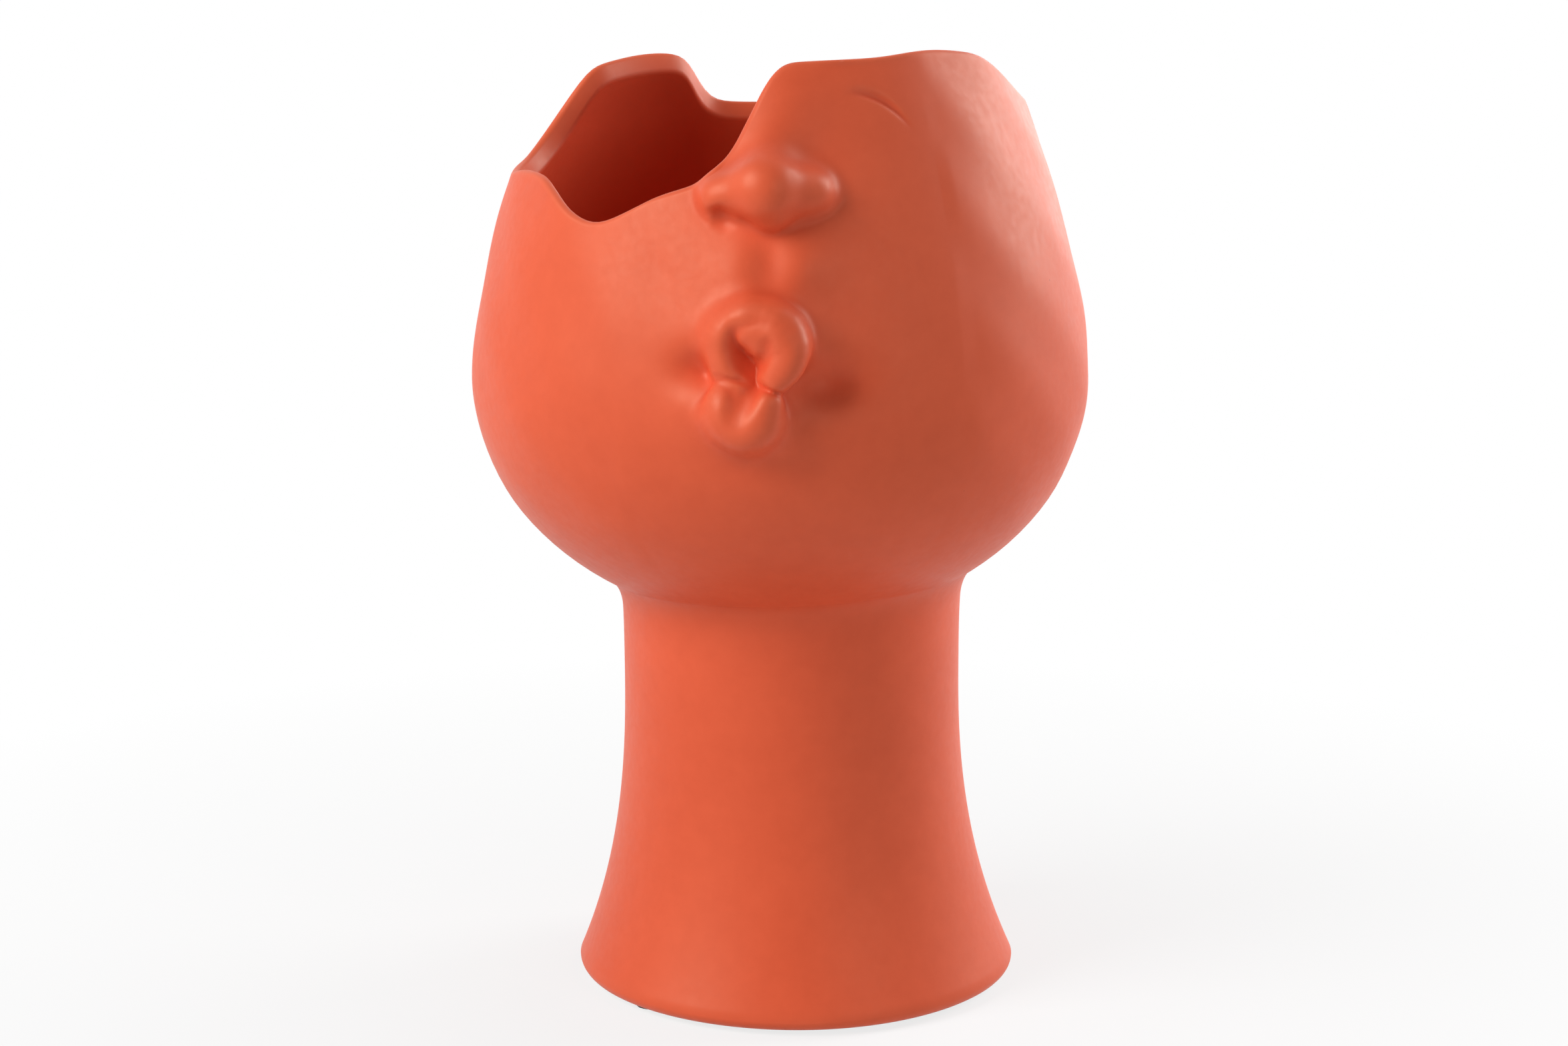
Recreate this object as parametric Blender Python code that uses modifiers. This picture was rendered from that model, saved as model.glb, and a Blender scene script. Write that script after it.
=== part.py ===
"""A flower pot in the form of a head on a neck, in matt glazed earthenware.

The head is a cast bowl with a wavy cut rim, a nose and puckered lips, and no eyes. It is luted onto a
hollow cast neck that flares into a foot. A rubber plug closes the drain hole in the floor of the bowl,
and felt pads keep the foot off the table.

Metres, +Z up. The face looks along -Y, and z = 0 is the surface that the pads stand on.
"""

import math

import bmesh
import bpy
import numpy as np
from mathutils import Matrix

POT = "head_flower_pot"
GAP = 0.0003  # between pieces that touch
MERGE = 0.00001

# Head: half an ellipsoid below its widest ring, drawn in above it
HEAD_RADIUS = 0.1133
HEAD_WIDEST_Z = 0.2265
HEAD_UNDER = 0.0892  # from the widest ring down to the lowest point
HEAD_RISE = 0.125  # from the widest ring up to the top of the rim
HEAD_DRAW = 0.0343  # how much narrower the head is at the top of the rim
HEAD_DRAW_POWER = 1.7
HEAD_Y = 0.006  # the head's axis lies behind the middle, because the nose stands out in front
HEAD_WALL = 0.0075

# Rim: stations of (azimuth in degrees from the face, to its left side; drop below the top)
RIM_STATIONS = (
    (58, 0.0002),
    (38, 0.0),
    (26, 0.0020),
    (6, 0.0030),
    (-0.5, 0.0055),
    (-8, 0.0355),
    (-13, 0.0420),
    (-23.5, 0.0475),
    (-34, 0.0585),
    (-40, 0.0590),
    (-56, 0.0445),
    (-66, 0.0440),
    (-83, 0.0475),
    (-98, 0.0465),
    (-108, 0.0365),
    (-119, 0.0120),
    (-144, 0.0090),
    (-152, 0.0100),
    (-160, 0.0295),
    (-190, 0.0295),
    (-240, 0.0265),
    (-272, 0.0205),
    (-297, 0.0035),
)
RIM_SOFTNESS = 3.5  # degrees to each side over which a station is rounded
RIM_FALL = 0.006  # how far the cut slopes down towards the inside
RIM_EDGE = 0.0012  # rounding of the outer edge

# Face: rolls of clay, each with stations of (sideways, height above the widest ring, how far the core
# stands out of the head, radius), pressed on with a blend of the given width
NOSE_ROLLS = (
    ((0.0065, 0.135, -0.0125, 0.0115), (0.0045, 0.110, -0.0080, 0.0105), (0.0008, 0.084, 0.0050, 0.0100)),
    ((0.0008, 0.0785, 0.0085, 0.0125), (0.0008, 0.0770, 0.0080, 0.0120)),
    ((-0.0170, 0.0750, -0.0005, 0.0075), (-0.0160, 0.0775, 0.0000, 0.0075)),
    ((0.0175, 0.0785, -0.0005, 0.0078), (0.0165, 0.0805, 0.0000, 0.0078)),
)
NOSE_BLEND = 0.006
MOUTH_ROLLS = (
    ((-0.0070, 0.064, -0.0045, 0.0060), (-0.0090, 0.048, -0.0050, 0.0080)),
    ((0.0065, 0.064, -0.0035, 0.0060), (0.0070, 0.048, -0.0045, 0.0080)),
    ((-0.0045, 0.030, -0.0095, 0.0180), (-0.0070, 0.012, -0.0110, 0.0180)),
)
MOUTH_BLEND = 0.010
UPPER_LIP_ROLLS = (
    ((-0.0130, 0.021, 0.0065, 0.0048), (-0.0138, 0.030, 0.0078, 0.0054), (-0.0100, 0.0365, 0.0080, 0.0056)),
    ((-0.0100, 0.0365, 0.0080, 0.0056), (-0.0020, 0.0380, 0.0085, 0.0060), (0.0065, 0.0325, 0.0088, 0.0066)),
    ((0.0065, 0.0325, 0.0088, 0.0066), (0.0055, 0.0255, 0.0092, 0.0070), (0.0025, 0.0205, 0.0080, 0.0056)),
)
LOWER_LIP_ROLLS = (
    ((-0.0140, 0.014, 0.0040, 0.0052), (-0.0132, 0.0075, 0.0055, 0.0062), (-0.0080, 0.0020, 0.0055, 0.0066)),
    ((-0.0008, 0.013, 0.0070, 0.0054), (-0.0020, 0.0080, 0.0078, 0.0066), (-0.0080, 0.0020, 0.0055, 0.0066)),
)
LIP_BLEND = 0.0035
LIP_ROOT_BLEND = 0.006
FACE_REACH = 0.040  # farther out than any clay

# Neck and foot, turned about an axis a little to one side of the head's
NECK_X = 0.0045
WAIST_RADIUS = 0.063
WAIST_DROP = 0.032  # below the joint with the head
COLLAR_FLARE = 0.0016  # how much wider the neck is at the joint than at the waist
COLLAR_POWER = 4
COLLAR_SPARE = 0.003  # length above the joint that the seat cuts away
FOOT_RADIUS = 0.0826
FOOT_POWER = 2.5
FOOT_EDGE = 0.003
FOOT_RING_HEIGHT = 0.008
NECK_WALL = 0.008

# Felt pads under the foot
PAD_COUNT = 4
PAD_RADIUS = 0.006
PAD_MARGIN = 0.003  # flat foot left to each side of a pad
PAD_THICKNESS = 0.0015
PAD_BEVEL = 0.0003

# Drain hole and its plug
DRAIN_RADIUS = 0.010
PLUG_FLANGE_RADIUS = 0.015
PLUG_FLANGE_HEIGHT = 0.003
PLUG_TAPER = 0.0012
PLUG_REACH = 0.002  # how far the stem comes out below the head
PLUG_STALK_RADIUS = 0.0030
PLUG_STALK_HEIGHT = 0.004
PLUG_KNOB_RADIUS = 0.0045
PLUG_SEAT_MARGIN = 0.003  # flat floor left round the flange

# Fineness: bands of (start, rows or columns up to the next start)
COLUMN_BANDS = ((-20, 27), (19, 12), (98, 10), (198, 13), (264, 12))  # degrees of azimuth
ROW_BANDS = ((-0.08, 4), (0.0, 17), (0.37, 5), (0.50, 11), (0.77, 4))  # shares of the head's rise
UNDERSIDE_ROWS = 9
INSIDE_ROWS = 11
RIM_KNEE = 0.7  # share of the lowest rim height below which the rows stay level
RIM_SAMPLES = 9
CLOSING_STEPS = 80
CLOSING_PACE = 0.8
SEAT_SEGMENTS = 72
NECK_STEPS = 52
NECK_ROWS = 7
PLUG_STEPS = 24
KNOB_TURNS = (0, 30, 60, 90, 120)  # degrees from the top of the knob
PAD_SEGMENTS = 32
SHARP_ANGLE = 40  # degrees

# Finishes: colour and roughness
GLAZE = ((0.68, 0.145, 0.075), 0.45)
FELT = ((0.09, 0.08, 0.075), 0.95)
RUBBER = ((0.035, 0.033, 0.032), 0.6)


def clear_scene():
    """Remove whatever the file holds."""
    for old in list(bpy.data.objects):
        bpy.data.objects.remove(old)


def new_collection(name):
    """A collection of that name in the scene."""
    collection = bpy.data.collections.new(name)
    bpy.context.scene.collection.children.link(collection)
    return collection


def new_material(name, finish):
    """A plain Principled material of that colour and roughness."""
    colour, roughness = finish
    material = bpy.data.materials.new(name)
    material.use_nodes = True
    shader = material.node_tree.nodes["Principled BSDF"]
    shader.inputs["Base Color"].default_value = (*colour, 1.0)
    shader.inputs["Roughness"].default_value = roughness
    shader.inputs["Metallic"].default_value = 0.0
    return material


def add_piece(name, mesh, finish, pot, location):
    """A piece of the pot with its own material, shaded smooth but for its sharp edges."""
    mesh.materials.append(new_material(name, finish))
    mesh.shade_smooth()
    mesh.set_sharp_from_angle(angle=math.radians(SHARP_ANGLE))
    piece = bpy.data.objects.new(name, mesh)
    piece.location = location
    piece.parent = pot
    pot.users_collection[0].objects.link(piece)
    return piece


def bands(stations, end):
    """Values spread evenly from each station to the next, the last up to but without the end."""
    stops = [start for start, _ in stations] + [end]
    runs = [np.linspace(a, b, n, endpoint=False) for (a, n), b in zip(stations, stops[1:])]
    return np.concatenate(runs)


def meridian(height, inset=0.0):
    """Radius, height and outward normal (radial, up) of the head's wall, at heights over the widest ring."""
    height = np.asarray(height, dtype=float)
    above = np.maximum(height, 0.0) / HEAD_RISE
    slope = -HEAD_DRAW * HEAD_DRAW_POWER * above ** (HEAD_DRAW_POWER - 1) / HEAD_RISE
    steep = np.sqrt(1 + slope**2)
    sine = np.clip(np.minimum(height, 0.0) / HEAD_UNDER, -1.0, 0.0)
    cosine = np.sqrt(1 - sine**2)
    wide, deep = HEAD_RADIUS - inset, HEAD_UNDER - inset
    under = np.stack([cosine / wide, sine / deep], axis=-1)
    under /= np.linalg.norm(under, axis=-1, keepdims=True)
    upper = np.stack([1 / steep, -slope / steep], axis=-1)
    lower = height < 0
    normal = np.where(lower[..., None], under, upper)
    outer_radius = HEAD_RADIUS - HEAD_DRAW * above**HEAD_DRAW_POWER
    radius = np.where(lower, wide * cosine, outer_radius - inset * upper[..., 0])
    level = np.where(lower, deep * sine, height - inset * upper[..., 1])
    return radius, level, normal


def underside_height(radius, inset=0.0):
    """Height over the widest ring, below zero, where the underside has that radius."""
    share = radius / (HEAD_RADIUS - inset)
    return -(HEAD_UNDER - inset) * math.sqrt(1 - share**2)


def seat_radius():
    """Radius of the flat round the drain hole that the plug's flange lies on."""
    return PLUG_FLANGE_RADIUS + PLUG_SEAT_MARGIN


def rim_height(azimuth):
    """Height of the rim over the widest ring, smooth through its stations."""
    degrees, drops = zip(*RIM_STATIONS)
    around = np.linspace(-RIM_SOFTNESS, RIM_SOFTNESS, RIM_SAMPLES)
    return HEAD_RISE - np.interp(azimuth[..., None] + around, degrees, drops, period=360).mean(axis=-1)


def smooth_union(a, b, width):
    """The lesser of two distances, blended where they are within that width of each other."""
    overlap = np.maximum(width - np.abs(a - b), 0.0)
    return np.minimum(a, b) - overlap**2 / (4 * width)


def roll_distance(points, stations):
    """Distance from points to the skin of a roll of clay."""
    cores = []
    for sideways, height, out, radius in stations:
        head_radius = float(meridian(height)[0])
        cores.append((np.array([sideways, -math.sqrt(head_radius**2 - sideways**2) - out, height]), radius))
    nearest = np.full(points.shape[:-1], np.inf)
    for (start, first), (end, last) in zip(cores, cores[1:]):
        along = end - start
        share = np.clip((points - start) @ along / (along @ along), 0.0, 1.0)
        to_core = np.linalg.norm(points - start - share[..., None] * along, axis=-1)
        nearest = np.minimum(nearest, to_core - first - share * (last - first))
    return nearest


def rolls_distance(points, rolls, blend):
    """Distance to several rolls that run into each other."""
    distance = roll_distance(points, rolls[0])
    for roll in rolls[1:]:
        distance = smooth_union(distance, roll_distance(points, roll), blend)
    return distance


def face_distance(points, plain):
    """Distance to the head with its face, from the distance to the plain head."""
    head = smooth_union(plain, rolls_distance(points, NOSE_ROLLS, NOSE_BLEND), NOSE_BLEND)
    head = smooth_union(head, rolls_distance(points, MOUTH_ROLLS, MOUTH_BLEND), MOUTH_BLEND)
    lips = np.minimum(
        rolls_distance(points, UPPER_LIP_ROLLS, LIP_BLEND),
        rolls_distance(points, LOWER_LIP_ROLLS, LIP_BLEND),
    )
    return smooth_union(head, lips, LIP_ROOT_BLEND)


def wall_points(azimuth, height, inset):
    """Points of the head's wall, and their outward normals, about the head's axis."""
    radius, level, normal = meridian(height, inset)
    turn = np.radians(azimuth)
    points = np.stack([radius * np.sin(turn), -radius * np.cos(turn), level], axis=-1)
    radial, up = normal[..., 0], normal[..., 1]
    normals = np.stack([radial * np.sin(turn), -radial * np.cos(turn), up], axis=-1)
    return points, normals


def face_relief(points, normals):
    """How far the face stands out of the plain head, found by closing in along the normals."""
    relief = np.full(points.shape[:-1], FACE_REACH)
    for _ in range(CLOSING_STEPS):
        relief = relief - CLOSING_PACE * face_distance(points + relief[..., None] * normals, relief)
    return relief


def head_rows(rim):
    """Heights, inset and share of relief of each row: up the outside, over the rim and down inside."""
    knee = RIM_KNEE * rim.min()
    top = rim - RIM_EDGE
    hole = -math.acos(DRAIN_RADIUS / HEAD_RADIUS)
    first = math.asin(ROW_BANDS[0][0] * HEAD_RISE / HEAD_UNDER)
    underside = HEAD_UNDER * np.sin(np.linspace(hole, first, UNDERSIDE_ROWS, endpoint=False))
    for height in np.concatenate([underside, HEAD_RISE * bands(ROW_BANDS, 1.0)]):
        above_knee = max(height - knee, 0.0)
        yield min(height, knee) + above_knee * (top - knee) / (HEAD_RISE - knee), 0.0, 1.0
    for inset, fall in ((0, RIM_EDGE), (0.5 * RIM_EDGE, 0.15 * RIM_EDGE), (0.55 * HEAD_WALL, 0.4 * RIM_FALL)):
        yield rim - fall, inset, 1 - inset / HEAD_WALL
    top_turn = np.arcsin((rim - RIM_FALL) / HEAD_RISE)
    seat_turn = -math.acos(seat_radius() / (HEAD_RADIUS - HEAD_WALL))
    for share in np.linspace(0, 1, INSIDE_ROWS):
        turn = top_turn + share * (seat_turn - top_turn)
        yield np.where(turn > 0, HEAD_RISE, HEAD_UNDER) * np.sin(turn), HEAD_WALL, 0.0


def head_rings():
    """Rings of points round the section of the bowl, from the drain hole's outer edge to its inner one."""
    azimuth = bands(COLUMN_BANDS, COLUMN_BANDS[0][0] + 360)
    heights, insets, shares = (np.array(values) for values in zip(*head_rows(rim_height(azimuth))))
    points, normals = wall_points(azimuth, heights, insets[:, None])
    relief = shares[:, None] * face_relief(points, normals)
    rings = points + relief[..., None] * normals
    narrowing = DRAIN_RADIUS / seat_radius()
    return np.concatenate([rings, rings[-1:] * (narrowing, narrowing, 1)])


def make_head_bowl(pot):
    """The bowl as a loft round its section, whose first and last rings meet in the drain hole."""
    rings = head_rings()
    rows, columns = rings.shape[:2]
    shape = bmesh.new()
    grid = [[shape.verts.new(point) for point in ring] for ring in rings]
    for row in range(rows):
        upper, lower = grid[(row + 1) % rows], grid[row]
        for column in range(columns):
            beside = (column + 1) % columns
            shape.faces.new((lower[column], lower[beside], upper[beside], upper[column]))
    bmesh.ops.recalc_face_normals(shape, faces=shape.faces)
    mesh = bpy.data.meshes.new("head_bowl")
    shape.to_mesh(mesh)
    shape.free()
    return add_piece("head_bowl", mesh, GLAZE, pot, (0, HEAD_Y, HEAD_WIDEST_Z))


def turned(name, profile, closed, steps, finish, pot, location):
    """A profile of (radius, height), running down its outer side, turned about the Z axis in steps."""
    count = len(profile)
    edges = [(i, (i + 1) % count) for i in range(count if closed else count - 1)]
    mesh = bpy.data.meshes.new(name)
    mesh.from_pydata([(radius, 0, height) for radius, height in profile], edges, [])
    piece = add_piece(name, mesh, finish, pot, location)
    screw = piece.modifiers.new("turn", "SCREW")
    screw.steps = screw.render_steps = steps
    screw.use_merge_vertices = True
    screw.merge_threshold = MERGE
    screw.use_normal_calculate = closed
    return piece


def seat_cutter(cutters):
    """The head's underside, larger by the gap, which cuts the seat into the neck."""
    shape = bmesh.new()
    bmesh.ops.create_uvsphere(shape, u_segments=SEAT_SEGMENTS, v_segments=SEAT_SEGMENTS // 2, radius=1.0)
    wide, deep = HEAD_RADIUS + GAP, HEAD_UNDER + GAP
    bmesh.ops.transform(shape, matrix=Matrix.Diagonal((wide, wide, deep, 1.0)), verts=shape.verts)
    mesh = bpy.data.meshes.new("seat_cutter")
    shape.to_mesh(mesh)
    shape.free()
    cutter = bpy.data.objects.new("seat_cutter", mesh)
    cutter.location = (0, HEAD_Y, HEAD_WIDEST_Z)
    cutter.hide_render = True
    cutter.display_type = "WIRE"
    cutters.objects.link(cutter)
    return cutter


def foot_z():
    """Height of the foot's flat underside."""
    return PAD_THICKNESS + GAP


def neck_radius(height, joint):
    """Outer radius of the neck and foot, with the joint to the head at that height."""
    waist = joint - WAIST_DROP
    widest = foot_z() + FOOT_EDGE
    up = np.maximum(height - waist, 0.0) / WAIST_DROP
    down = np.clip((waist - height) / (waist - widest), 0.0, 1.0)
    return WAIST_RADIUS + COLLAR_FLARE * up**COLLAR_POWER + (FOOT_RADIUS - WAIST_RADIUS) * down**FOOT_POWER


def foot_ring_width():
    """Width of the flat ring that carries the pads."""
    return FOOT_EDGE + 2 * (PAD_RADIUS + PAD_MARGIN)


def make_neck_stand(pot, cutters):
    """The hollow neck and foot, open below, with the head's underside cut into its top."""
    joint_radius = WAIST_RADIUS + COLLAR_FLARE
    joint = HEAD_WIDEST_Z + underside_height(joint_radius)
    top = HEAD_WIDEST_Z + underside_height(joint_radius + NECK_X) + COLLAR_SPARE
    bottom = foot_z()
    upper = np.linspace(top, joint - WAIST_DROP, NECK_ROWS)
    lower = np.linspace(joint - WAIST_DROP, bottom + FOOT_EDGE, NECK_ROWS)[1:]
    heights = np.concatenate([upper, lower])
    outside = [(float(neck_radius(z, joint)), z) for z in heights]
    bend = FOOT_EDGE * (1 - math.sqrt(0.5))
    edge = [(FOOT_RADIUS - bend, bottom + bend), (FOOT_RADIUS - FOOT_EDGE, bottom)]
    ring_inside = FOOT_RADIUS - foot_ring_width()
    ring = [(ring_inside, bottom), (ring_inside, bottom + FOOT_RING_HEIGHT)]
    hollow = [z for z in heights[::-1] if z > bottom + FOOT_RING_HEIGHT + NECK_WALL]
    inside = [(float(neck_radius(z, joint)) - NECK_WALL, z) for z in hollow]
    profile = outside + edge + ring + inside
    piece = turned("neck_stand", profile, True, NECK_STEPS, GLAZE, pot, (NECK_X, HEAD_Y, 0))
    cut = piece.modifiers.new("seat", "BOOLEAN")
    cut.operation = "DIFFERENCE"
    cut.object = seat_cutter(cutters)
    return piece


def make_drain_plug(pot):
    """A stopper pushed into the drain hole from inside, with a knob to pull it out by."""
    floor = HEAD_WIDEST_Z + underside_height(seat_radius(), HEAD_WALL) + GAP
    stem = HEAD_WIDEST_Z - HEAD_UNDER - PLUG_REACH - floor
    stem_radius = DRAIN_RADIUS - GAP
    stalk_top = PLUG_FLANGE_HEIGHT + PLUG_STALK_HEIGHT
    knob_middle = stalk_top + PLUG_KNOB_RADIUS
    knob = [
        (PLUG_KNOB_RADIUS * math.sin(turn), knob_middle + PLUG_KNOB_RADIUS * math.cos(turn))
        for turn in np.radians(KNOB_TURNS)
    ]
    profile = knob + [
        (PLUG_STALK_RADIUS, stalk_top),
        (PLUG_STALK_RADIUS, PLUG_FLANGE_HEIGHT),
        (PLUG_FLANGE_RADIUS - PLUG_FLANGE_HEIGHT / 2, PLUG_FLANGE_HEIGHT),
        (PLUG_FLANGE_RADIUS, PLUG_FLANGE_HEIGHT / 2),
        (PLUG_FLANGE_RADIUS, 0),
        (stem_radius, 0),
        (stem_radius - PLUG_TAPER, stem),
        (0, stem),
    ]
    return turned("drain_plug", profile, False, PLUG_STEPS, RUBBER, pot, (0, HEAD_Y, floor))


def make_foot_pad(number, pot):
    """One of the felt discs that are spread evenly under the flat of the foot."""
    shape = bmesh.new()
    bmesh.ops.create_cone(
        shape,
        cap_ends=True,
        segments=PAD_SEGMENTS,
        radius1=PAD_RADIUS,
        radius2=PAD_RADIUS,
        depth=PAD_THICKNESS,
    )
    name = f"foot_pad_{number + 1}"
    mesh = bpy.data.meshes.new(name)
    shape.to_mesh(mesh)
    shape.free()
    spread = FOOT_RADIUS - FOOT_EDGE - PAD_MARGIN - PAD_RADIUS
    turn = 2 * math.pi * (number + 0.5) / PAD_COUNT
    place = (NECK_X + spread * math.cos(turn), HEAD_Y + spread * math.sin(turn), PAD_THICKNESS / 2)
    pad = add_piece(name, mesh, FELT, pot, place)
    bevel = pad.modifiers.new("soft_edge", "BEVEL")
    bevel.width = PAD_BEVEL
    bevel.segments = 1
    bevel.limit_method = "ANGLE"
    return pad


def main():
    """Build the pot."""
    clear_scene()
    cutters = new_collection(POT + "_cutters")
    pot = bpy.data.objects.new(POT, None)
    new_collection(POT).objects.link(pot)
    make_head_bowl(pot)
    make_neck_stand(pot, cutters)
    make_drain_plug(pot)
    for number in range(PAD_COUNT):
        make_foot_pad(number, pot)


if __name__ == "__main__":
    main()
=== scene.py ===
"""A flower pot in the form of a head on a neck, dressed over its CAD frame.

The head and the neck are made anew as fine meshes. The face is built up on the bowl's wall from rolls and
balls of clay that run into each other, and the luted joint below the head is filled to a soft hollow. The
drain plug and the felt pads get their own rounded forms. Shapes are worked out in millimetres, and left and
right are those of someone who faces the pot.
"""

import math

import bpy
import numpy as np
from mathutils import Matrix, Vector


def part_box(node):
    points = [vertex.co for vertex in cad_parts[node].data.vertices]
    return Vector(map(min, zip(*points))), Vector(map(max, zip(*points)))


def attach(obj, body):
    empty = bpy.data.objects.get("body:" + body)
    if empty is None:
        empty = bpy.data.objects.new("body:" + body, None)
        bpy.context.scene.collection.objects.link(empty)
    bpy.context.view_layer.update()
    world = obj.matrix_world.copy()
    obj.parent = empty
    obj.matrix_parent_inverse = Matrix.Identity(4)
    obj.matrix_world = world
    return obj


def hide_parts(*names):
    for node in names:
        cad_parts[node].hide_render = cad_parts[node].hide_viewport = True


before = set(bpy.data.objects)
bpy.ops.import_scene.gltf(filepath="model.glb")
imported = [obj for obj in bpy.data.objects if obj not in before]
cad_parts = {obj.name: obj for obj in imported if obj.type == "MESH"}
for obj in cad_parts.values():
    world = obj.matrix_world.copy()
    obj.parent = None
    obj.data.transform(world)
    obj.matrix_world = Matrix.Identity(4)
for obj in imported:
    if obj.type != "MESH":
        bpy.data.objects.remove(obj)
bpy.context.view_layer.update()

MM = 0.001  # metres in the unit of all sizes below
TINY = 1e-9  # least value to divide by
STEP_LIMIT = 30  # widths past which a smooth step is flat

# Head: its axis and widest ring, then its wall, with heights measured from that ring
HEAD_PLACE = np.array([0.0, 6.0, 226.5])
HEAD_RADIUS = 113.3
HEAD_UNDER = 89.2  # from the widest ring down to the lowest point
HEAD_RISE = 125.0  # from the widest ring up to the top of the rim
HEAD_DRAW = 34.3  # how much narrower the head is at the top of the rim
HEAD_DRAW_POWER = 1.7
HEAD_WALL = 7.5
SLOPE_END = 0.999  # share of the way down past which the slope of the underside is held

# Rim: stations of (azimuth in degrees from the face, growing to the right; height)
RIM_STATIONS = (
    (44.5, 125.0), (26, 123.0), (8, 122.0), (3.5, 121.5), (-1.5, 113.6), (-5, 101.7), (-9, 88.7),
    (-14, 82.5), (-23, 77.2), (-30, 71.0), (-37, 66.7), (-44, 69.5), (-52, 76.5), (-59, 80.7), (-66, 81.0),
    (-82, 78.0), (-98, 80.0), (-107, 88.0), (-113, 99.0), (-118, 110.0), (-123, 113.2), (-144, 115.7),
    (-150, 114.5), (-154, 109.0), (-158, 100.0), (-162, 96.3), (-172, 95.6), (-190, 95.8), (-220, 97.0),
    (-250, 101.0), (-270, 104.2), (-283, 112.2), (-290, 117.6), (-300, 122.8),
)
RIM_SOFTENING = 2.0  # degrees between the places whose heights are averaged to round its turns
RIM_SHARES = ((-2, 1), (-1, 4), (0, 6), (1, 4), (2, 1))  # those places and their shares

# Section of the rim's cut: corners of (inset from the outer wall, depth, rounding)
RIM_CORNERS = ((0.0, 12.0, 0.0), (0.0, 0.0, 1.9), (HEAD_WALL, 6.2, 3.0), (HEAD_WALL, 16.0, 0.0))
RIM_STRETCH = 2.6  # most that a steep run of the rim lengthens the section downwards

# Unevenness of the walls: waves of (amount, count round the pot, phase, rise in which the phase grows by 1)
HEAD_WAVES = ((0.25, 4, 0.4, 19.0), (0.22, 9, 2.1, -11.0), (0.16, 16, 4.0, 6.5))
NECK_WAVES = ((0.35, 2, 0.7, 70.0), (0.22, 3, 2.3, -45.0), (0.15, 5, 0.4, 30.0))
WAVES_FROM = -45.0  # height above which the head's wall is uneven
WAVES_FADE = 5.0

# Face: swellings of the wall, as (amount, sideways, height, half width, half height, tilt in degrees)
SWELLINGS = (
    (7.0, -4.0, 22.0, 20.0, 25.0, 0),  # mound that the mouth sits on
    (2.2, -1.0, 58.0, 22.0, 15.0, 0),  # rise below the nose
    (1.1, -25.0, 6.5, 9.0, 9.0, 0),  # fold at the left corner of the mouth
    (-5.8, -20.4, 20.8, 9.6, 7.4, 10),  # left dimple
    (-6.6, 18.0, 16.6, 13.0, 9.0, -8),  # right dimple
    (-2.4, -17.8, 18.2, 4.2, 3.4, 0),  # left corner of the mouth
    (3.4, 7.0, 28.0, 10.0, 11.0, 0),  # cushion right of the upper lip
    (-1.3, 3.0, -13.0, 20.0, 7.0, 0),  # hollow over the chin
    (-0.8, -38.0, 52.0, 7.0, 14.0, 22),  # left cheek fold
    (2.2, 13.0, 55.5, 10.0, 10.0, 10),  # right ridge of the philtrum
    (0.8, -10.0, 54.0, 8.0, 9.0, 0),  # left ridge of the philtrum
    (-1.4, 0.6, 55.5, 6.0, 10.5, 0),  # philtrum
    (2.2, 5.5, 108.0, 13.0, 13.0, -8),  # root of the nose
    (7.6, 0.2, 90.0, 9.6, 9.6, 0),  # bridge of the nose
)

# Balls: a middle of (sideways, height, out of the wall), radii (sideways, out, up) and a tilt in degrees
NOSE_TIP = ((-0.4, 81.4, 5.8), (12.0, 12.2, 10.8), 0)
LEFT_WING = ((-16.0, 77.6, 0.0), (7.4, 9.0, 7.4), -12)
RIGHT_WING = ((13.8, 79.0, 0.2), (8.2, 8.2, 7.6), 14)
LEFT_NOSTRIL = ((-15.4, 71.2, 4.8), (1.8, 2.6, 2.8), 30)

# Rolls: stations of (sideways, height, how far the core stands out of the wall, radius)
NOSE_SEPTUM = ((0.4, 77.0, 6.2, 7.4), (1.8, 72.8, 3.4, 6.2))
UPPER_LIP_LEFT = (
    (-8.4, 19.2, -0.8, 8.8), (-12.2, 22.6, 1.4, 7.0), (-14.0, 28.0, 2.8, 5.6),
    (-11.8, 33.6, 3.6, 6.4), (-5.5, 36.6, 5.6, 7.0), (2.5, 34.8, 7.4, 7.0),
)
UPPER_LIP_RIGHT = (
    (-3.0, 35.6, 5.6, 6.6), (3.0, 34.4, 7.4, 7.0), (8.4, 29.4, 8.8, 6.4),
    (7.8, 23.6, 8.8, 5.8), (4.4, 18.2, 8.0, 4.4),
)
UPPER_LIP_INNER = ((4.0, 32.0, 6.2, 6.4), (4.2, 25.5, 6.0, 5.8), (2.8, 20.0, 5.6, 4.2))
UPPER_LIP_MIDDLE = ((-3.2, 33.4, 5.8, 5.6), (-0.8, 29.4, 6.4, 4.0))
MOUTH_PIT = (
    (-2.0, 35.0, 20.5, 9.5), (0.6, 29.5, 15.0, 14.0), (1.8, 25.0, 14.0, 13.0),
    (2.8, 20.5, 14.8, 12.0), (3.4, 17.0, 17.5, 11.5),
)
LIP_NOTCH = ((0.5, 31.0, 14.8, 1.5), (-0.6, 27.0, 12.4, 1.6), (-2.4, 23.5, 9.0, 1.8))
LOWER_LIP = (
    (-14.0, 14.6, 3.2, 3.8), (-14.8, 9.0, 4.4, 5.8), (-12.0, 3.6, 5.2, 6.4),
    (-6.2, 0.8, 6.0, 6.6), (-1.4, 3.8, 7.2, 6.6), (0.7, 10.4, 7.6, 5.5),
)
LOWER_LIP_MIDDLE = ((-10.5, 8.6, 5.0, 5.8), (-5.4, 6.2, 6.0, 6.0), (-3.0, 10.4, 6.0, 5.0))
LOWER_FOLD = ((-5.2, 17.4, 9.6, 4.4), (-8.2, 11.6, 13.2, 3.4), (-11.0, 5.6, 15.6, 2.4))
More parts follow.
